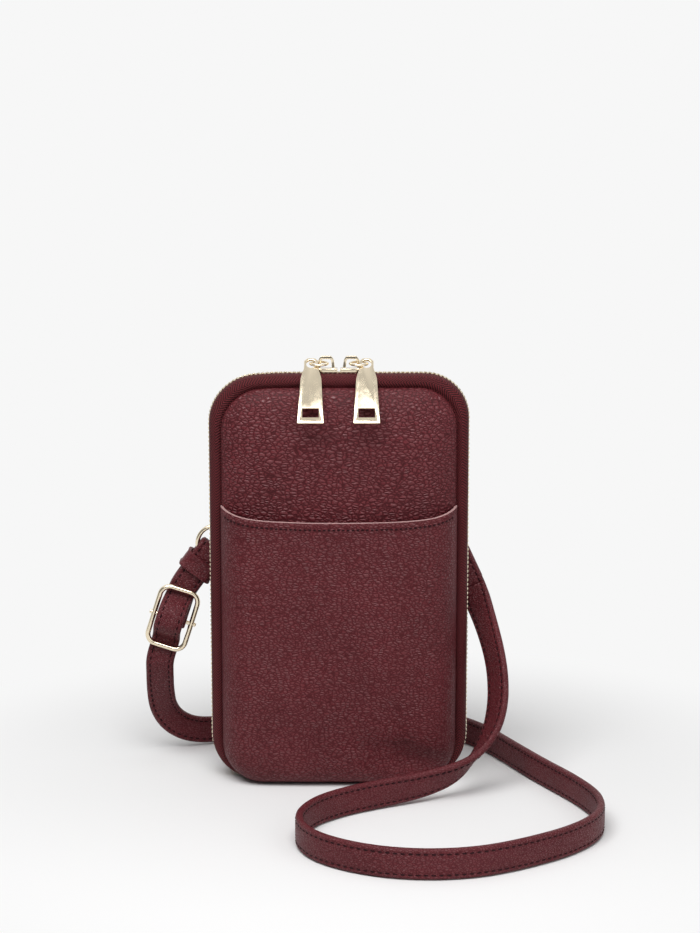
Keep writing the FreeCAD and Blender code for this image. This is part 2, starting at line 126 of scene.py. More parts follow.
# Zip
tape_crest_inset = 1.6 * mm
tape_thickness = 0.8 * mm
tape_inside_share = 0.6
tape_end = 38.0 * mm
tooth_pitch = 2.0 * mm
tooth_height = 1.9 * mm
tooth_half = 0.45 * mm
tooth_overlap = 0.25 * mm
tooth_root = 2.6 * mm
tooth_chamfer = 0.2 * mm
tooth_section = ((-1, -0.7), (-0.7, -1), (0.7, -1), (1, -0.7), (1, 0.7), (0.7, 1), (-0.7, 1), (-1, 0.7))
tooth_levels = ((-tooth_overlap, 0.7), (0.0, 1.0), (tooth_root - tooth_chamfer, 1.0), (tooth_root, 0.8))

# Sections as (inset from the outline, depth from the middle), in millimetres
panel_rim = ((7.6, 7.0), (6.7, 7.8), (6.2, 8.5))
lining_rim = ((6.8, 7.2), (8.5, 8.2))
pocket_rim = ((7.0, 7.9), (6.1, 8.5), (5.7, 9.0))
tape_outside = ((7.15, 5.7), (6.55, 6.7), (5.8, 7.9), (4.8, 8.55), (3.6, 8.65), (2.6, 8.3), (1.75, 7.7),
                (1.15, 6.9), (0.8, 5.9), (0.58, 4.6), (0.42, 3.3), (0.35, 2.2))

# Strap, its ends and its hardware
strap_width = 12.8 * mm
strap_thickness = 3.4 * mm
left_tilt = math.radians(37)
right_tilt = math.radians(25)
adjuster_tilt = math.radians(18)
layer_offset = 2.85 * mm
fold_top = -2.1 * mm
fold_start = -6.5 * mm
layer_middle = -14.0 * mm
right_rear_end = -25.2 * mm
right_front_end = -26.2 * mm
left_rear_end = -25.0 * mm
left_front_end = -24.5 * mm
doubled_foot = -25.2 * mm
adjuster_drop = 14.0 * mm
adjuster_plane = 9.33 * mm
adjuster_half_width = 8.8 * mm
adjuster_half_length = 13.8 * mm
adjuster_wire = 2.3 * mm
adjuster_corner = 4.5 * mm
wrap_thickness = 1.9 * mm
strap_shift = 1.0 * mm
keeper_middle = -12.7 * mm
keeper_clearance = 1.0 * mm
keeper_corner = 2.6 * mm
ring_radius = 8.2 * mm
ring_wire = 2.0 * mm
link_radius = 3.9 * mm
link_wire = 1.1 * mm
bridge_foot = 188.0 * mm
bridge_top = 192.1 * mm
bridge_draw = 0.24
wire_sides = 14
ring_steps = 56
corner_points = 10

# Keeper's section as (along, thickness), in millimetres: a rolled rim at both ends, then the inside
keeper_section = ((-4.0, 0.3), (-3.85, 0.75), (-3.4, 0.95), (-2.9, 0.8), (-2.4, 0.55), (0.0, 0.65),
                  (2.4, 0.55), (2.9, 0.8), (3.4, 0.95), (3.85, 0.75), (4.0, 0.3), (4.0, -0.4),
                  (3.8, -0.6), (-3.8, -0.6), (-4.0, -0.4), (-4.0, 0.3))

# Routes at the adjuster as (along, depth) in millimetres, and the share of the sideways shift
rear_route = ((-9.0, 14.6, 0.0), (-5.5, 17.2, 0.0))
front_route = ((-3.0, 12.5, 0.0), (-5.6, 11.2, 0.5), (-9.6, 4.6, 1.0), (-14.0, 3.9, 1.0),
               (-18.4, 4.6, 1.0), (-22.4, 11.2, 0.5), (-25.4, 12.53, 0.0), (-31.5, 12.53, 0.0))
wrap_route = ((-8.6, 14.6, 0.0), (-11.5, 12.6, 0.0), (-16.3, 11.6, 0.0), (-16.3, 7.2, 0.0),
              (-11.7, 7.2, 0.0), (-11.7, 10.4, 0.0), (-10.4, 12.2, 0.0))

# Strap's upper outline in half thicknesses, as (inward, height): from its edge, and from its stitches
rolled_edge = ((0.0, 0.0), (0.1, 0.45), (0.4, 0.82), (0.75, 0.95))
stitch_valley = ((-0.25, 0.88), (0.0, 0.8), (0.3, 0.9), (0.9, 1.0))
curve_order = 3
curve_steps = 10

# Thread
stitch_inset = 2.1 * mm
stitch_pitch = 3.0 * mm
stitch_length = 1.9 * mm
pocket_stitch_pitch = 2.1 * mm
pocket_stitch_length = 1.3 * mm
thread_radius = 0.38 * mm
thread_sides = 6
stitch_profile = ((-0.5, 0.35), (-0.36, 0.85), (0.0, 1.0), (0.36, 0.85), (0.5, 0.35))
stitch_dip = 0.5
stitch_lift = 0.3
stitch_seat = 0.42

# Mesh work
join_distance = 0.02 * mm
sliver_length = 0.01 * mm
cad_join_distance = 0.002 * mm
flat_angle = math.radians(1)
bevel_angle = math.radians(35)
bevel_segments = 3
shading_angle = math.radians(40)
tooth_shading_angle = math.radians(35)
tab_rounding = 0.5 * mm
metal_rounding = 0.3 * mm
pull_rounding = 0.25 * mm
gusset_rounding = 0.35 * mm

# Camera, with its place in millimetres and its tilt below level in degrees
lens_length = 79.04
sensor_width = 36.0
nearest_seen = 0.01
camera_place = (4.92, -900.0, 299.78)
camera_tilt = 9.92

# Stage, with each lamp's place, target, size and power
backdrop_pale = 0.93
floor_pale = 0.84
floor_middle = (0.01, -0.035, 0.0)
floor_reach = 30.0
floor_fade = (0.12, 0.26)
light_share = 0.36
room_pale = 0.2
room_fade = (-0.3, 0.6)
lamps = {
    "key": ((-0.15, -0.65, 1.05), (0, 0, 0.12), (1.0, 0.7), 13.5),
    "fill": ((0.75, -0.85, 0.45), (0, 0, 0.1), (0.9, 0.9), 3.0),
    "top": ((0.0, -0.1, 1.05), (0, 0, 0.1), (2.4, 1.5), 4.2),
}

# Leather: its wobble, pebbles and pores go by the size of the grain, and its patches by the metre
grain_stretch = (0.6, 0.9, 1.05)
wobble_scale = 0.3
wobble_reach = 1.1
pebble_edge = 0.42
pebble_height = 0.22
# Width of the painted shade in the creases between pebbles
shaded_crease_width = 0.15
pore_scale = 4.5
pore_height = 0.15
leather_roughness = (0.55, 0.38)
leather_shine = (0.2, 0.5)
patch_scale = 38.0
patch_values = (0.9, 1.1)

# Cloth, thread and gold
fibre_scale = 2.5
fibre_height = 0.4
weave_height = 0.25 * mm
ply_scale = 3200.0
ply_height = 0.08 * mm
smudge_scale = 260.0
gold_roughness = (0.1, 0.22)

# Free strap from the right fold to the adjuster: route in millimetres, and where its outer edge points
strap_route = (
    ((60.57, 15.73, 84.25), (0.906, 0.0, 0.423)),
    ((62.2, 15.3, 80.7), (0.88, -0.2, 0.4)),
    ((64.5, 10.5, 75.5), (0.75, -0.6, 0.25)),
    ((67.6, 3.0, 66.5), (0.62, -0.77, 0.12)),
    ((70.2, -4.5, 57.0), (0.55, -0.83, 0.05)),
    ((71.4, -11.0, 47.5), (0.53, -0.85, 0.0)),
    ((71.0, -17.5, 37.5), (0.5, -0.85, 0.05)),
    ((68.0, -24.0, 27.5), (0.42, -0.85, 0.2)),
    ((61.0, -30.0, 18.0), (0.3, -0.75, 0.5)),
    ((51.5, -35.5, 11.5), (0.12, -0.5, 0.85)),
    ((36.0, -41.5, 8.0), (0.02, -0.2, 0.97)),
    ((18.0, -48.5, 6.7), (0.0, 0.0, 1.0)),
    ((1.0, -59.0, 6.6), (0.0, 0.0, 1.0)),
    ((-12.0, -73.0, 6.6), (0.0, 0.0, 1.0)),
    ((-17.5, -92.0, 6.6), (0.0, 0.0, 1.0)),
    ((-11.5, -110.0, 6.6), (0.0, 0.0, 1.0)),
    ((2.0, -122.5, 6.6), (0.0, 0.0, 1.0)),
    ((19.0, -130.5, 6.6), (0.0, 0.0, 1.0)),
    ((38.0, -133.0, 6.6), (0.0, 0.0, 1.0)),
    ((58.0, -129.5, 6.6), (0.0, 0.0, 1.0)),
    ((78.0, -118.5, 6.6), (0.0, 0.0, 1.0)),
    ((96.5, -104.5, 6.6), (0.0, 0.0, 1.0)),
    ((109.5, -86.5, 6.6), (0.0, 0.0, 1.0)),
    ((111.5, -65.0, 6.6), (0.0, 0.0, 1.0)),
    ((104.0, -43.0, 6.6), (0.0, 0.0, 1.0)),
    ((91.5, -18.5, 6.6), (0.0, 0.0, 1.0)),
    ((79.5, 8.5, 6.6), (0.0, 0.0, 1.0)),
    ((67.5, 36.0, 6.6), (0.0, 0.0, 1.0)),
    ((49.0, 56.0, 6.6), (0.0, 0.0, 1.0)),
    ((20.0, 63.0, 6.6), (0.0, 0.0, 1.0)),
    ((-14.0, 60.0, 6.6), (0.0, 0.0, 1.0)),
    ((-40.0, 53.0, 6.6), (0.0, 0.0, 1.0)),
    ((-57.0, 45.5, 6.8), (0.05, 0.0, 1.0)),
    ((-69.7, 39.5, 8.2), (0.15, 0.0, 0.98)),
    ((-78.3, 33.8, 14.0), (0.5, 0.1, 0.85)),
    ((-82.6, 27.1, 22.9), (0.85, 0.1, 0.4)),
    ((-83.2, 20.7, 33.1), (0.97, 0.0, 0.0)),
    ((-82.8, 15.0, 43.5), (0.96, 0.0, -0.2)),
    ((-82.6, 12.7, 50.1), (0.955, 0.0, -0.29)),
    ((-81.4, 12.53, 53.92), (0.951, 0.0, -0.309)),
)


# Camera and lamps
def make_camera():
    bpy.context.scene.view_settings.view_transform = "Standard"
    lens = bpy.data.cameras.new("camera")
    lens.lens = lens_length
    lens.sensor_width = sensor_width
    lens.clip_start = nearest_seen
    camera = bpy.data.objects.new("camera", lens)
    camera.location = Vector(camera_place) * mm
    camera.rotation_euler = (math.radians(90 - camera_tilt), 0, 0)
    bpy.context.scene.collection.objects.link(camera)
    bpy.context.scene.camera = camera


def area_light(name, place, target, size, power):
    lamp = bpy.data.lights.new(name, "AREA")
    lamp.shape = "RECTANGLE"
    lamp.size, lamp.size_y = size
    lamp.energy = power
    light = bpy.data.objects.new(name, lamp)
    light.location = place
    light.rotation_euler = (Vector(target) - Vector(place)).to_track_quat("-Z", "Y").to_euler()
    bpy.context.scene.collection.objects.link(light)


# Shader nodes
class Shading:
    """Node tree of a material or of the world. An input takes a value or another node's output."""

    def __init__(self, owner):
        owner.use_nodes = True
        self.nodes = owner.node_tree.nodes
        self.links = owner.node_tree.links

    def feed(self, node, inputs):
        for key, source in inputs.items():
            if isinstance(source, bpy.types.NodeSocket):
                self.links.new(source, node.inputs[key])
            else:
                node.inputs[key].default_value = source

    def add(self, kind, inputs, output, **settings):
        """Output of a new node with these inputs and settings."""
        node = self.nodes.new("ShaderNode" + kind)
        for name, value in settings.items():
            setattr(node, name, value)
        self.feed(node, inputs)
        return node.outputs[output]

    def shade(self, inputs):
        """Feed the shader that a new material comes with."""
        self.feed(self.nodes["Principled BSDF"], inputs)

    def maths(self, operation, *sources):
        return self.add("Math", dict(enumerate(sources)), "Value", operation=operation)

    def ranged(self, value, given=(0.0, 1.0), wanted=(0.0, 1.0), kind="LINEAR"):
        """A value carried from a given range to a wanted one."""
        names = ("Value", "From Min", "From Max", "To Min", "To Max")
        inputs = dict(zip(names, (value, *given, *wanted)))
        return self.add("MapRange", inputs, "Result", interpolation_type=kind)

    def noisy(self, place, scale, detail=2.0, output="Fac"):
        return self.add("TexNoise", {"Vector": place, "Scale": scale, "Detail": detail}, output)

    def toned(self, share, shade, colour):
        """Colour between a shade and a full colour."""
        return self.add("Mix", {0: share, 6: (*shade, 1), 7: (*colour, 1)}, 2, data_type="RGBA")

    def bumped(self, height, strength, distance):
        return self.add("Bump", {"Height": height, "Strength": strength, "Distance": distance}, "Normal")


def new_material(name):
    material = bpy.data.materials.new(name)
    return material, Shading(material)


def grey(level):
    return (level, level, level, 1)


# Stage
def strength_when_seen(shading):
    """Full strength for a backdrop that is seen, in metal or through glass too, and less as a light."""
    names = ("Is Camera Ray", "Is Glossy Ray", "Is Transmission Ray")
    direct, in_metal, through_glass = [shading.add("LightPath", {}, name) for name in names]
    seen = shading.maths("MAXIMUM", direct, in_metal)
    return shading.ranged(shading.maths("MAXIMUM", seen, through_glass), wanted=(light_share, 1.0))


def floor_material():
    """Matt floor that takes the shadow near the pouch and turns into the plain backdrop further out."""
    material, shading = new_material("pale_floor")
    shading.shade({"Base Color": grey(floor_pale), "Roughness": 0.9, "Specular IOR Level": 0.0})
    glow_inputs = {"Color": grey(backdrop_pale), "Strength": strength_when_seen(shading)}
    glow = shading.add("Emission", glow_inputs, "Emission")
    matt = shading.nodes["Principled BSDF"].outputs["BSDF"]
    place = shading.add("TexCoord", {}, "Object")
    far = shading.add("VectorMath", {0: place}, "Value", operation="LENGTH")
    fade = shading.ranged(far, floor_fade, kind="SMOOTHSTEP")
    mixed = shading.add("MixShader", {"Fac": fade, 1: matt, 2: glow}, "Shader")
    shading.feed(shading.nodes["Material Output"], {"Surface": mixed})
    return material


def make_world():
    """Pale backdrop behind the pouch and a dim room behind the camera, both weaker as a light."""
    world = bpy.data.worlds.new("studio")
    bpy.context.scene.world = world
    shading = Shading(world)
    view = shading.add("TexCoord", {}, "Generated")
    depth = shading.add("SeparateXYZ", {"Vector": view}, "Y")
    room = shading.ranged(depth, room_fade, (room_pale, backdrop_pale), "SMOOTHSTEP")
    direct = shading.add("LightPath", {}, "Is Camera Ray")
    colour = shading.maths("MAXIMUM", shading.maths("MULTIPLY", direct, backdrop_pale), room)
    shading.feed(shading.nodes["Background"], {"Color": colour, "Strength": strength_when_seen(shading)})


def make_stage():
    mesh = bpy.data.meshes.new("floor")
    signs = ((-1, -1), (1, -1), (1, 1), (-1, 1))
    mesh.from_pydata([(x * floor_reach, y * floor_reach, 0) for x, y in signs], [], [(0, 1, 2, 3)])
    mesh.materials.append(floor_material())
    floor = bpy.data.objects.new("floor", mesh)
    floor.location = floor_middle
    bpy.context.scene.collection.objects.link(floor)
    make_world()
    for name, settings in lamps.items():
        area_light(name, *settings)


# Materials
def leather_material(name, colour, crease_shade_colour, grain):
    """Pebbled leather: rounded cells with painted shade in the creases, fine pores, and slow changes of
    colour.
    """
    material, shading = new_material(name)
    place = shading.add("TexCoord", {}, "Object")
    wobble = shading.noisy(place, wobble_scale / grain, 1.0, "Color")
    shift_inputs = {0: wobble, 1: (wobble_reach * grain,) * 3, 2: place}
    shifted = shading.add("VectorMath", shift_inputs, "Vector", operation="MULTIPLY_ADD")
    stretched = shading.add("Mapping", {"Vector": shifted, "Scale": grain_stretch}, "Vector")
    cell_inputs = {"Vector": stretched, "Scale": 1 / grain}
    cells = shading.add("TexVoronoi", cell_inputs, "Distance", feature="DISTANCE_TO_EDGE")
    pebble = shading.ranged(cells, (0.0, pebble_edge), kind="SMOOTHSTEP")
    pores = shading.noisy(place, pore_scale / grain, 3.0)
    height = shading.maths("MULTIPLY_ADD", pores, pore_height, pebble)
    # The creases between the pebbles take the darker crease colour: painted shade
    crease_shaded_tone = shading.toned(shading.ranged(cells, (0.0, shaded_crease_width), kind="SMOOTHSTEP"), crease_shade_colour, colour)
    patches = shading.ranged(shading.noisy(place, patch_scale), (0.3, 0.7), patch_values)
    shading.shade({
        "Base Color": shading.add("HueSaturation", {"Color": crease_shaded_tone, "Value": patches}, "Color"),
        "Roughness": shading.ranged(pebble, wanted=leather_roughness),
        "Specular IOR Level": shading.ranged(pebble, wanted=leather_shine),
        "Normal": shading.bumped(height, 1.0, pebble_height * grain),
    })
    return material


def woven_material(name, colour, shade, yarn, band):
    """Herringbone weave along U, with its slant turning over at every band along V, and painted shade in
    its grooves.
    """
    material, shading = new_material(name)
    place = shading.add("UVMap", {}, "UV")
    along, across = [shading.add("SeparateXYZ", {"Vector": place}, axis) for axis in ("X", "Y")]
    phase = shading.maths("ADD", along, shading.maths("PINGPONG", across, band))
    wave = shading.maths("SINE", shading.maths("MULTIPLY", phase, 2 * math.pi / yarn))
    level = shading.ranged(wave, (-1.0, 1.0))
    fibre = shading.noisy(shading.add("TexCoord", {}, "Object"), fibre_scale / yarn)
    height = shading.maths("MULTIPLY_ADD", fibre, fibre_height, level)
    shading.shade({
        # The weave goes to the darker colour in its grooves: painted shade between its ridges
        "Base Color": shading.toned(level, shade, colour),
        "Roughness": 0.7,
        "Specular IOR Level": 0.2,
        "Normal": shading.bumped(height, 0.9, weave_height),
    })
    return material


def metal_material(name, colour):
    """Polished plating with faint smudges."""
    material, shading = new_material(name)
    smudge = shading.noisy(shading.add("TexCoord", {}, "Object"), smudge_scale, 4.0)
    roughness = shading.ranged(smudge, (0.3, 0.75), gold_roughness)
    shading.shade({"Base Color": (*colour, 1), "Metallic": 1.0, "Roughness": roughness})
    return material


def fibre_material(name, colour, shade):
    """Fine uneven fibres, for thread and for the raw edge of leather."""
    material, shading = new_material(name)
    ply = shading.noisy(shading.add("TexCoord", {}, "Object"), ply_scale)
    shading.shade({
        "Base Color": shading.toned(ply, shade, colour),
        "Roughness": 0.65,
        "Specular IOR Level": 0.15,
        "Normal": shading.bumped(ply, 0.5, ply_height),
    })
    return material


# Each leather's second colour is the painted shade in its creases
leather = leather_material("burgundy_leather", (0.122, 0.0158, 0.0212), (0.05, 0.0055, 0.0078),
                           grain=1.45 * mm)
soft_leather = leather_material("pocket_leather", (0.12, 0.0156, 0.021), (0.066, 0.0076, 0.0106),
                                grain=1.2 * mm)
strap_leather = leather_material("strap_leather", (0.116, 0.0155, 0.0208), (0.068, 0.0084, 0.0116),
                                 grain=0.85 * mm)
# The second colour of the tape and of the lining is painted shade in the grooves of their weave
weave = woven_material("zip_tape_weave", (0.14, 0.017, 0.0215), (0.018, 0.0025, 0.0035),
                       yarn=1.25 * mm, band=2.5 * mm)
lining = woven_material("lining_twill", (0.06, 0.014, 0.017), (0.035, 0.008, 0.01),
                        yarn=0.5 * mm, band=400 * mm)
gold = metal_material("pale_gold", (0.84, 0.73, 0.55))
# The thread is painted much darker than its own burgundy: painted shade of the stitch holes between
# stitches
hole_shaded_thread = fibre_material("burgundy_thread_painted_dark", (0.032, 0.0042, 0.0078), (0.008, 0.0014, 0.002))
pale_edge = fibre_material("raw_leather_edge", (0.5, 0.33, 0.32), (0.28, 0.14, 0.14))


# Pieces
def new_piece(name, points, faces, materials, body, nodes=(), uvs=None, picks=None):
    """Smooth mesh that rides on a body and stands for CAD nodes.

    It may have a UV for each point and the number of a material for each face.
    """
    mesh = bpy.data.meshes.new(name)
    mesh.from_pydata([tuple(p) for p in points], [], faces)
    for material in materials:
        mesh.materials.append(material)
    mesh.polygons.foreach_set("use_smooth", [True] * len(mesh.polygons))
    if picks:
        mesh.polygons.foreach_set("material_index", picks)
    if uvs:
        layer = mesh.uv_layers.new(name="UVMap")
        for loop in mesh.loops:
            layer.data[loop.index].uv = uvs[loop.vertex_index]
    piece = bpy.data.objects.new(name, mesh)
    bpy.context.scene.collection.objects.link(piece)
    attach(piece, body)
    if nodes:
        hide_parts(*nodes)
    return piece


def tidy(piece, inside):
    """Join coincident points and turn the faces to look away from a point inside."""
    work = bmesh.new()
    work.from_mesh(piece.data)
    bmesh.ops.remove_doubles(work, verts=work.verts, dist=join_distance)
    bmesh.ops.dissolve_degenerate(work, edges=work.edges, dist=sliver_length)
    bmesh.ops.recalc_face_normals(work, faces=work.faces)
    facing_out = 0.0
    for face in work.faces:
        facing_out += face.normal.dot(face.calc_center_median() - inside) * face.calc_area()
    if facing_out < 0:
        bmesh.ops.reverse_faces(work, faces=work.faces)
    work.to_mesh(piece.data)
    work.free()


def softened(node, name, material, rounding, shape=None, cuts=()):
    """Copy of a CAD piece with rounded edges, cut at some depths and moved by a shape function."""
    mesh = frame["nodes"][node].data.copy()
    mesh.name = name
    mesh.materials.clear()
    mesh.materials.append(material)
    work = bmesh.new()
    work.from_mesh(mesh)
    bmesh.ops.remove_doubles(work, verts=work.verts, dist=cad_join_distance)
    bmesh.ops.dissolve_limit(work, angle_limit=flat_angle, verts=work.verts, edges=work.edges)
    sharp = [e for e in work.edges if len(e.link_faces) == 2 and e.calc_face_angle() > bevel_angle]
    bmesh.ops.bevel(work, geom=sharp, offset=rounding, segments=bevel_segments, profile=0.5,
                    affect="EDGES", clamp_overlap=True)
    bmesh.ops.recalc_face_normals(work, faces=work.faces)
    for depth in cuts:
        everything = work.verts[:] + work.edges[:] + work.faces[:]
        bmesh.ops.bisect_plane(work, geom=everything, plane_co=rearward * depth, plane_no=rearward)
    if shape:
        for vertex in work.verts:
            vertex.co = shape(vertex.co)
    work.to_mesh(mesh)
    work.free()
    mesh.polygons.foreach_set("use_smooth", [True] * len(mesh.polygons))
    mesh.set_sharp_from_angle(angle=shading_angle)
    piece = bpy.data.objects.new(name, mesh)
    bpy.context.scene.collection.objects.link(piece)
    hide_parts(node)
    return piece


def dressed(node, name, material, rounding, shape=None):
    """Softened copy of a CAD piece that rides on the same body."""
    piece = softened(node, name, material, rounding, shape)
    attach(piece, frame["nodes"][node]["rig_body"])


def loft(rings, closed):
    """Points of rings of equal length, and the faces between each ring and the next."""
    count = len(rings[0])
    points = [point for ring in rings for point in ring]
    faces = []
    for index in range(len(rings) - 1):
        base = index * count
        for k in range(count if closed else count - 1):
            n = (k + 1) % count
            faces.append((base + k, base + n, base + count + n, base + count + k))
    return points, faces


def add_solid(points, faces, rings):
    """Add a tube of rings, closed at both ends, to points and faces."""
    start = len(points)
    count = len(rings[0])
    more, walls = loft(rings, True)
    points += more
    faces += [tuple(start + k for k in wall) for wall in walls]
    faces.append(tuple(start + k for k in reversed(range(count))))
    faces.append(tuple(start + len(more) - count + k for k in range(count)))


def circle(centre, first, second, radius, steps):
    turns = [2 * math.pi * k / steps for k in range(steps)]
    return [centre + (first * math.cos(turn) + second * math.sin(turn)) * radius for turn in turns]


def mirrored(points):
    """Points as (x, z) on the other side of the middle, in the opposite order."""
    return [(-x, z) for x, z in reversed(points)]


def in_metres(pairs):
    return [(first * mm, second * mm) for first, second in pairs]


def bridged(left, right):
    """Faces between two rows of point numbers, which may share their ends."""
    return [tuple(dict.fromkeys(corners)) for corners in zip(left, left[1:], right[1:], right)]


def smooth_step(start, end, value):
    share = min(max((value - start) / (end - start), 0.0), 1.0)
    return share * share * (3 - 2 * share)


def spaced(line, pitch):
    """Evenly spaced places along a polyline, each as the index of its run and the share of that run."""
    found = []
    travelled = 0.0
    wanted = pitch / 2
    for index, (a, b) in enumerate(zip(line, line[1:])):
        run = (b - a).length
        while wanted < travelled + run:
            found.append((index, (wanted - travelled) / run))
            wanted += pitch
        travelled += run
    return found


def stitch_surface(seats, length):
    """Points and faces of stitches, each seat being a middle, a direction and the surface's normal."""
    points = []
    faces = []
    for middle, way, normal in seats:
        side = way.cross(normal).normalized()
        rings = []
        for along, size in stitch_profile:
            centre = middle + way * (along * length) - normal * (abs(along) * stitch_dip * thread_radius)
            rings.append(circle(centre, side, normal, thread_radius * size, thread_sides))
        add_solid(points, faces, rings)
    return points, faces


# Strips of strap
def smooth_line(points):
    """Points along the NURBS curve that has the given control points."""
    curve = bpy.data.curves.new("line", "CURVE")
    curve.dimensions = "3D"
    curve.resolution_u = curve_steps
    spline = curve.splines.new("NURBS")
    spline.points.add(len(points) - 1)
    for place, point in zip(spline.points, points):
        place.co = (*point, 1)
    spline.order_u = curve_order
    spline.use_endpoint_u = True
    line = bpy.data.objects.new("line", curve)
    bpy.context.scene.collection.objects.link(line)
    bpy.context.view_layer.update()
    drawn = line.evaluated_get(bpy.context.evaluated_depsgraph_get())
    mesh = bpy.data.meshes.new_from_object(drawn)
    found = [vertex.co.copy() for vertex in mesh.vertices]
    bpy.data.meshes.remove(mesh)
    bpy.data.objects.remove(line)
    bpy.data.curves.remove(curve)
    return found


def rails(stations):
    """Places along a strip, each with its direction, the direction across and the outward direction."""
    centre = smooth_line([point for point, edge in stations])
    edge = smooth_line([point + direction * (strap_width / 2) for point, direction in stations])
    frames = []
    for index, point in enumerate(centre):
        before = centre[max(index - 1, 0)]
        after = centre[min(index + 1, len(centre) - 1)]
        way = (after - before).normalized()
        across = edge[index] - point
        across = (across - way * across.dot(way)).normalized()
        frames.append((point, way, across, way.cross(across)))
    return frames


def strip_section(thickness):
    """Upper outline of a strap as (across, height), with rolled edges and a valley at its stitches."""
    half = strap_width / 2
    lift = thickness / 2
    stitch = half - stitch_inset
    outer = [(half - inward * lift, height * lift) for inward, height in rolled_edge]
    outer += [(stitch - inward * lift, height * lift) for inward, height in stitch_valley]
    outer.append((stitch / 2, lift))
    return [(-a, h) for a, h in outer] + [(0.0, lift)] + outer[::-1]


def strip_surface(frames, thickness):
    upper = strip_section(thickness)
    section = upper + [(a, -h) for a, h in reversed(upper[1:-1])]
    rings = []
    for place, way, across, outward in frames:
        rings.append([place + across * a + outward * h for a, h in section])
    points = []
    faces = []
    add_solid(points, faces, rings)
    return points, faces


def strip_seats(frames, thickness):
    """Seats of the stitches along both edges of a strap, on both of its faces."""
    seats = []
    for index, share in spaced([f[0] for f in frames], stitch_pitch):
        place, way, across, outward = frames[index]
        middle = place.lerp(frames[index + 1][0], share)
        for edge in (-1, 1):
            for face in (-1, 1):
                seat = middle + across * (edge * (strap_width / 2 - stitch_inset))
                seats.append((seat + outward * (face * stitch_seat * thickness), way, outward * face))
    return seats


def make_strip(name, stations, thickness, nodes, sewn):
    frames = rails(stations)
    points, faces = strip_surface(frames, thickness)
    strip = new_piece(name, points, faces, [strap_leather], "back_half", nodes)
    tidy(strip, frames[len(frames) // 2][0])
    if not sewn:
        return strip, frames, None
    points, faces = stitch_surface(strip_seats(frames, thickness), stitch_length)
    sewing = new_piece(name + "_stitches", points, faces, [hole_shaded_thread], "back_half")
    return strip, frames, sewing


def make_strap():
    stations = [(Vector(point) * mm, Vector(edge).normalized()) for point, edge in strap_route]
    strap, frames, sewing = make_strip("strap", stations, strap_thickness, ["shoulder_strap"], True)


# Pouch outline and crown
def half_outline(inset, base, mouth=None):
    """Right half of the outline as (x, z), from the bottom's middle to the top's or to a mouth."""
    half = half_width - inset
    radius = max(corner_radius - corner_tightening * inset, smallest_corner)
    top = mouth(half) if mouth else pouch_height - inset - radius
    points = [((half - radius) * k / flat_steps, base) for k in range(flat_steps)]

    def corner(level, start):
        for k in range(corner_steps + 1):
            turn = math.radians(start + 90 * k / corner_steps)
            points.append((half - radius + radius * math.cos(turn), level + radius * math.sin(turn)))

    corner(base + radius, -90)
    side = top - base - radius
    points += [(half, base + radius + side * k / side_steps) for k in range(1, side_steps)]
    if mouth:
        points.append((half, top))
    else:
        corner(top, 0)
        shares = [1 - k / flat_steps for k in range(1, flat_steps + 1)]
        points += [((half - radius) * share, top + radius) for share in shares]
    return points


def crown_share(inward, reach):
    """Share of a panel's crown at a distance in from its seam: steep at the seam, flat in the middle."""
    u = min(max(inward / reach, 0.0), 1.0)
    return (1 - (1 - u) ** crown_flatness) ** crown_steepness


def soft(x, z, seed):
    """Slow unevenness of padded leather."""
    return softness * noise.noise(Vector((x / softness_size, z / softness_size, seed)))


def settle(point):
    """Droop of the soft top left corner, beyond the straight run that the left slider needs."""
    left = smooth_step(*droop_across, point.x)
    high = smooth_step(*droop_up, point.z)
    return point - up * (corner_droop * left * high)


def face_insets(edge, reach):
    """Insets of the rings of a crowned face, close together at the seam."""
    insets = [edge + reach * u for u in ring_shares]
    while insets[-1] + fill_step < half_width - fill_step / 2:
        insets.append(insets[-1] + fill_step)
    return insets + [half_width - smallest_corner]


def ring_base(inset):
    """Height of a ring's lowest edge: the seam rises less at the base than it is inset at the sides."""
    return max(inset - seam_inset + seam_rise, 0.0)


def crowned_face(side, rim, edge, crown):
    """Crowned panel from its rim, given as (inset, depth), over its face to the middle."""
    levels = [(inset, depth, 0.0) for inset, depth in rim]
    for inset in face_insets(edge, panel_reach):
        share = crown_share(inset - edge, panel_reach)
        levels.append((inset, seam_depth + crown * share, share))
    rings = []
    for inset, depth, share in levels:
        right = half_outline(inset, ring_base(inset))
        ring = []
        for x, z in right + mirrored(right[1:-1]):
            ring.append(settle(Vector((x, side * (depth + share * soft(x, z, side)), z))))
        rings.append(ring)
    points, faces = loft(rings, True)
    count = len(rings[-1])
    numbers = list(range(len(points) - count, len(points)))
    half = count // 2
    faces += bridged(numbers[:half + 1], [numbers[0]] + numbers[:half - 1:-1])
    return points, faces


def make_panels():
    centre = Vector((0, 0, pouch_height / 2))
    for name, side, crown in (("front", -1, front_crown), ("back", 1, back_crown)):
        body = name + "_half"
        points, faces = crowned_face(side, in_metres(panel_rim), seam_inset, crown)
        panel = new_piece(name + "_panel_leather", points, faces, [leather], body,
                          [name + "_panel"])
        tidy(panel, centre)
        points, faces = crowned_face(side, in_metres(lining_rim), seam_inset + panel_depth,
                                     crown - panel_depth)
        uvs = [(point.x, point.z) for point in points]
        cloth = new_piece(name + "_lining_cloth", points, faces, [lining], body,
                          [name + "_foam", name + "_lining"], uvs)
        tidy(cloth, centre + rearward * side)


# Slip pocket
def mouth_height(x):
    share = abs(x) / (half_width - pocket_edge)
    return mouth_middle + mouth_lift * (mouth_bow * share ** 2 + (1 - mouth_bow) * share ** 6)


def pocket_base(inset):
    """Height of the lowest edge of a pocket ring: the pocket hangs full over the bottom seam."""
    inward = max(inset - pocket_edge, 0.0) / pocket_reach
    return pocket_foot + pocket_reach * min(inward ** pocket_hang, inward)


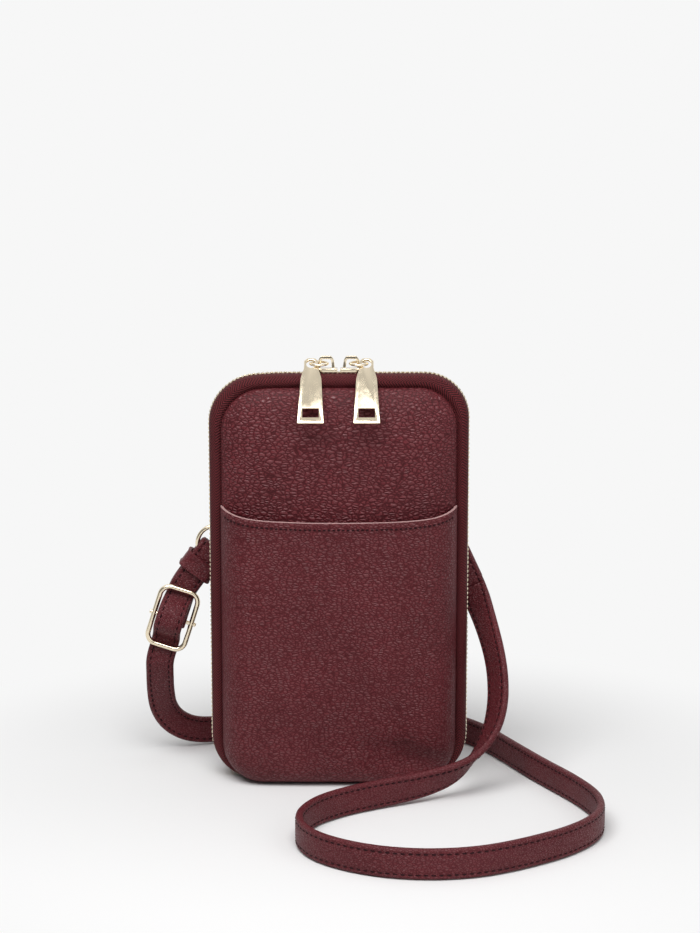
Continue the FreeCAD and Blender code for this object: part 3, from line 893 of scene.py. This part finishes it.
def crease_depth(x, z):
    """Depth of the soft fold down to the lower right corner, steep above its line and slack below it."""
    along = (x - fold_middle[0]) / fold_reach
    above = z - fold_middle[1] - fold_slope * (x - fold_middle[0])
    width = fold_above if above > 0 else fold_below
    return fold_depth * math.exp(-along ** 2 - (above / width) ** 2)


def pocket_depth(x, z, inset):
    share = crown_share(inset - pocket_edge, pocket_reach)
    unevenness = pocket_softness * soft(x, z, pocket_seed)
    return seam_depth + share * (pocket_crown - crease_depth(x, z) + unevenness)


def mouth_lip(mouth):
    """Loops that turn the pocket's mouth over its raw edge and down its lining."""
    loops = [mouth]
    down = -pocket_lining_drop / raw_edge
    for inward, rise in (*lip_turns, (1.0, down / 2), (1.0, down)):
        loop = []
        for index, point in enumerate(mouth):
            run = mouth[min(index + 1, len(mouth) - 1)] - mouth[max(index - 1, 0)]
            inside = Vector((-run.y, run.x, 0)).normalized()
            loop.append(point + inside * (inward * pocket_leather) + up * (rise * raw_edge))
        loops.append(loop)
    return loops


def make_pocket():
    rings = []
    for inset, depth in in_metres(pocket_rim):
        right = half_outline(inset, pocket_foot, mouth_height)
        rings.append([Vector((x, -depth, z)) for x, z in mirrored(right[1:]) + right])
    for inset in face_insets(pocket_edge, pocket_reach):
        right = half_outline(inset, pocket_base(inset), mouth_height)
        cup = mirrored(right[1:]) + right
        rings.append([Vector((x, -pocket_depth(x, z, inset), z)) for x, z in cup])
    points, faces = loft(rings, False)
    count = len(rings[-1])
    numbers = list(range(len(points) - count, len(points)))
    half = count // 2
    faces += bridged(numbers[:half + 1], numbers[:half - 1:-1])
    picks = [0] * len(faces)
    face_rings = rings[len(pocket_rim):]
    mouth = [ring[0] for ring in face_rings] + [ring[-1] for ring in reversed(face_rings)]
    start = len(points)
    more, lip = loft(mouth_lip(mouth), False)
    points += more
    for index, face in enumerate(lip):
        faces.append(tuple(start + k for k in face))
        picks.append(1 if index < len(lip_turns) * (len(mouth) - 1) else 2)
    uvs = [(point.x, point.z) for point in points]
    pocket = new_piece("slip_pocket", points, faces, [soft_leather, pale_edge, lining], "front_half",
                       ["front_pocket", "front_pocket_lining"], uvs, picks)
    tidy(pocket, Vector((0, 0, pouch_height / 3)))


def make_pocket_stitches():
    line = []
    reach = half_width - pocket_edge - mouth_stitch_end
    for k in range(mouth_stitch_steps + 1):
        x = reach * (2 * k / mouth_stitch_steps - 1)
        z = mouth_height(x) - mouth_stitch_drop
        line.append(Vector((x, -pocket_depth(x, z, half_width - abs(x)), z)))
    seats = []
    for index, share in spaced(line, pocket_stitch_pitch):
        way = (line[index + 1] - line[index]).normalized()
        normal = way.cross(up).normalized()
        middle = line[index].lerp(line[index + 1], share)
        seats.append((middle + normal * (stitch_lift * thread_radius), way, normal))
    points, faces = stitch_surface(seats, pocket_stitch_length)
    new_piece("pocket_stitches", points, faces, [hole_shaded_thread], "front_half")


# Zip
def make_tape(name, side):
    """Tape from the groove at the panel over its crest to the teeth, and back on its inside."""
    section = in_metres(tape_outside)
    inward = tape_thickness * tape_inside_share
    inner = [(inset + tape_thickness, depth - inward) for inset, depth in section[:-1]]
    inner.append((section[-1][0] + tape_thickness, section[-1][1]))
    section += inner[::-1]
    section.append(section[0])
    rings = []
    across = []
    travelled = 0.0
    for index, (inset, depth) in enumerate(section):
        rise = seam_rise * max(inset - tape_crest_inset, 0.0) / (seam_inset - tape_crest_inset)
        right = half_outline(inset, rise)[flat_steps:]
        ring = []
        for x, z in right + mirrored(right[:-1]):
            if z < corner_radius / 2 and abs(x) < tape_end:
                x = math.copysign(tape_end, x)
            ring.append(settle(Vector((x, side * depth, z))))
        rings.append(ring)
        if index:
            travelled += math.hypot(inset - section[index - 1][0], depth - section[index - 1][1])
        across += [travelled] * len(ring)
    crest = rings[section.index(max(section, key=lambda place: place[1]))]
    runs = [0.0]
    for a, b in zip(crest, crest[1:]):
        runs.append(runs[-1] + (b - a).length)
    points, faces = loft(rings, False)
    tape = new_piece(name + "_tape_cloth", points, faces, [weave], name + "_half",
                     [name + "_zip_tape"], list(zip(runs * len(rings), across)))
    tidy(tape, Vector((0, 0, pouch_height / 2)))


def make_teeth(name, side):
    """Row of teeth, each a small block with cut corners; the two rows are half a pitch apart."""
    right = half_outline(0.0, 0.0)[flat_steps:]
    line = [settle(Vector((x, 0, z))) for x, z in right + mirrored(right[:-1])]
    points = []
    faces = []
    for index, share in spaced(line, tooth_pitch / 2)[(0 if side < 0 else 1)::2]:
        way = (line[index + 1] - line[index]).normalized()
        inward = way.cross(rearward)
        middle = line[index].lerp(line[index + 1], share) + inward * (tooth_height / 2)
        rings = []
        for depth, size in tooth_levels:
            centre = middle + rearward * (side * depth)
            rings.append([centre + inward * (a * size * tooth_height / 2) + way * (b * size * tooth_half)
                          for a, b in tooth_section])
        add_solid(points, faces, rings)
    teeth = new_piece(name + "_zip_teeth", points, faces, [gold], name + "_half",
                      [name + "_zip_chain"])
    tidy(teeth, Vector((0, 0, pouch_height / 2)))
    teeth.data.set_sharp_from_angle(angle=tooth_shading_angle)


# Strap ends
class Stretch:
    """Frame of a straight stretch of strap: s upwards along it, across it, and y to the back."""

    def __init__(self, side, tilt, origin):
        self.origin = origin
        self.along = Vector((-side * math.sin(tilt), 0, math.cos(tilt)))
        self.across = self.along.cross(rearward)

    def place(self, s, y):
        return Vector((self.origin.x, y, self.origin.z)) + self.along * s


def middle_of(node):
    low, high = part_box(node)
    return (low + high) / 2


left_ring = middle_of("left_strap_ring")
right_ring = middle_of("right_strap_ring")
left_end = Stretch(-1, left_tilt, left_ring)
right_end = Stretch(1, right_tilt, right_ring)
adjuster_end = Stretch(-1, adjuster_tilt, left_end.place(doubled_foot, 0))


def folded(rear_end, front_end, plane):
    """Route of a strap end as (s, y): up the rear layer, over the ring and down the front layer."""
    rear = plane + layer_offset
    front = plane - layer_offset
    return ((rear_end, rear), (layer_middle, rear), (fold_start, rear), (fold_top, rear),
            (fold_top, front), (fold_start, front), (layer_middle, front), (front_end, front))


def adjuster_stations(route):
    """Places on a route at the adjuster, each with the direction of the strap's outer edge."""
    stations = []
    for s, y, share in route:
        place = adjuster_end.place(s * mm, y * mm) + adjuster_end.across * (share * strap_shift)
        stations.append((place, adjuster_end.across))
    return stations


def make_strap_ends():
    route = folded(right_rear_end, right_front_end, right_ring.y)
    stations = [(right_end.place(s, y), right_end.across * -1) for s, y in route]
    make_strip("right_strap_fold", stations, strap_thickness, ["strap_end_fold"], True)
    route = folded(left_rear_end, left_front_end, left_ring.y)
    stations = adjuster_stations(rear_route)
    stations += [(left_end.place(s, y), left_end.across) for s, y in route]
    stations += adjuster_stations(front_route)
    make_strip("left_strap_end", stations, strap_thickness, ["strap_adjuster_end"], True)
    make_strip("bar_wrap", adjuster_stations(wrap_route), wrap_thickness, [], False)


def rounded_loop(half_u, half_v, radius):
    """Points of a rounded rectangle as (u, v), with the outward direction at each."""
    loop = []
    for a, b, start in ((1, 1, 0), (-1, 1, 90), (-1, -1, 180), (1, -1, 270)):
        for k in range(corner_points + 1):
            turn = math.radians(start + 90 * k / corner_points)
            out_u = math.cos(turn)
            out_v = math.sin(turn)
            u = a * (half_u - radius) + radius * out_u
            v = b * (half_v - radius) + radius * out_v
            loop.append((u, v, out_u, out_v))
    return loop


def make_keeper():
    """Leather loop round both layers of the doubled strap."""
    half_u = strap_width / 2 + keeper_clearance
    half_v = layer_offset + strap_thickness / 2 + keeper_clearance
    rings = []
    for s, thick in in_metres(keeper_section):
        middle = left_end.place(keeper_middle + s, left_ring.y)
        ring = []
        for u, v, out_u, out_v in rounded_loop(half_u, half_v, keeper_corner):
            ring.append(middle + left_end.across * (u + out_u * thick) + rearward * (v + out_v * thick))
        rings.append(ring)
    points, faces = loft(rings, True)
    keeper = new_piece("keeper_loop", points, faces, [strap_leather], "keeper",
                       ["strap_keeper"])
    tidy(keeper, left_end.place(keeper_middle, left_ring.y))


# Hardware
def wire_loop(name, line, normal, radius, body, node):
    """Closed loop of round wire along points in a plane."""
    rings = []
    for index, point in enumerate(line):
        way = (line[(index + 1) % len(line)] - line[index - 1]).normalized()
        rings.append(circle(point, way.cross(normal), normal, radius, wire_sides))
    rings.append(rings[0])
    points, faces = loft(rings, True)
    loop = new_piece(name, points, faces, [gold], body, [node])
    tidy(loop, sum(line, Vector()) / len(line))


def arch(middle):
    """Function that draws the bridge of a slider in towards its top, into a rounder arch."""
    def shape(point):
        share = smooth_step(bridge_foot, bridge_top, point.z)
        return Vector((middle + (point.x - middle) * (1 - bridge_draw * share), point.y, point.z))
    return shape


def make_hardware():
    for name, ring in (("left", left_ring), ("right", right_ring)):
        line = circle(ring, rightward, up, ring_radius, ring_steps)
        wire_loop(name + "_ring", line, rearward, ring_wire / 2, "back_half", name + "_strap_ring")
        dressed(name + "_strap_tab", name + "_ring_tab", leather, tab_rounding)
        bridge = arch(middle_of(name + "_slider").x)
        dressed(name + "_slider", name + "_zip_slider", gold, metal_rounding, bridge)
        dressed(name + "_pull", name + "_pull_plate", gold, pull_rounding)
        low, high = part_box(name + "_pull_link")
        slant = Vector((0, high.y - low.y - link_wire, high.z - low.z - link_wire)).normalized()
        line = circle((low + high) / 2, rightward, slant, link_radius, ring_steps)
        wire_loop(name + "_link_wire", line, rightward.cross(slant), link_wire / 2, name + "_link",
                  name + "_pull_link")
    centre = adjuster_end.place(-adjuster_drop, adjuster_plane)
    line = []
    for u, v, out_u, out_v in rounded_loop(adjuster_half_width, adjuster_half_length, adjuster_corner):
        line.append(centre + adjuster_end.across * u + adjuster_end.along * v)
    wire_loop("adjuster_loop", line, rearward, adjuster_wire / 2, "back_half", "adjuster_frame")
    dressed("adjuster_bar", "adjuster_centre_bar", gold, metal_rounding)


def make_gusset():
    """Leather between the two halves, softened and cut at even depths."""
    low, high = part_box("bottom_gusset")
    cuts = [low.y + (high.y - low.y) * k / gusset_steps for k in range(1, gusset_steps)]
    gusset = softened("bottom_gusset", "base_gusset", leather, gusset_rounding, cuts=cuts)
    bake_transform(gusset)


make_camera()
make_stage()
make_panels()
make_pocket()
make_pocket_stitches()
for half, direction in (("front", -1), ("back", 1)):
    make_tape(half, direction)
    make_teeth(half, direction)
make_strap_ends()
make_keeper()
make_hardware()
make_gusset()
make_strap()
